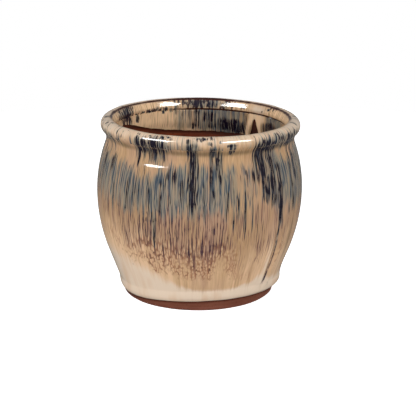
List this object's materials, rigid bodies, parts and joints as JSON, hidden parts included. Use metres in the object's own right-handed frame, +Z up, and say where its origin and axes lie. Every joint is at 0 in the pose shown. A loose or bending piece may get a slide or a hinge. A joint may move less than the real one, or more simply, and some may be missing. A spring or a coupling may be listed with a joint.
{
  "type": "glazed planter pot",
  "caption": "Round glazed earthenware planter with a swelling belly, rolled rim, bare foot ring and a drain hole; holds soil and a plant.",
  "frame": {"origin": "centre of the foot ring's underside, on the floor", "axes": "+Z up along the turning axis, -Y towards the viewer of the picture, +X to the viewer's right"},
  "size_m": [0.25, 0.25, 0.2152],
  "materials": {
    "terracotta": "bare fired red clay, matte",
    "reactive_glaze": "glossy reactive glaze, streaked tan, cream, blue-grey and near black"
  },
  "bodies": {
    "root": {"base_slab": "terracotta", "clay_wall": "terracotta", "rim_coil": "terracotta", "outer_glaze": "reactive_glaze", "rim_glaze": "reactive_glaze", "inner_glaze": "reactive_glaze", "glaze_run": "reactive_glaze"}
  },
  "joints": []
}
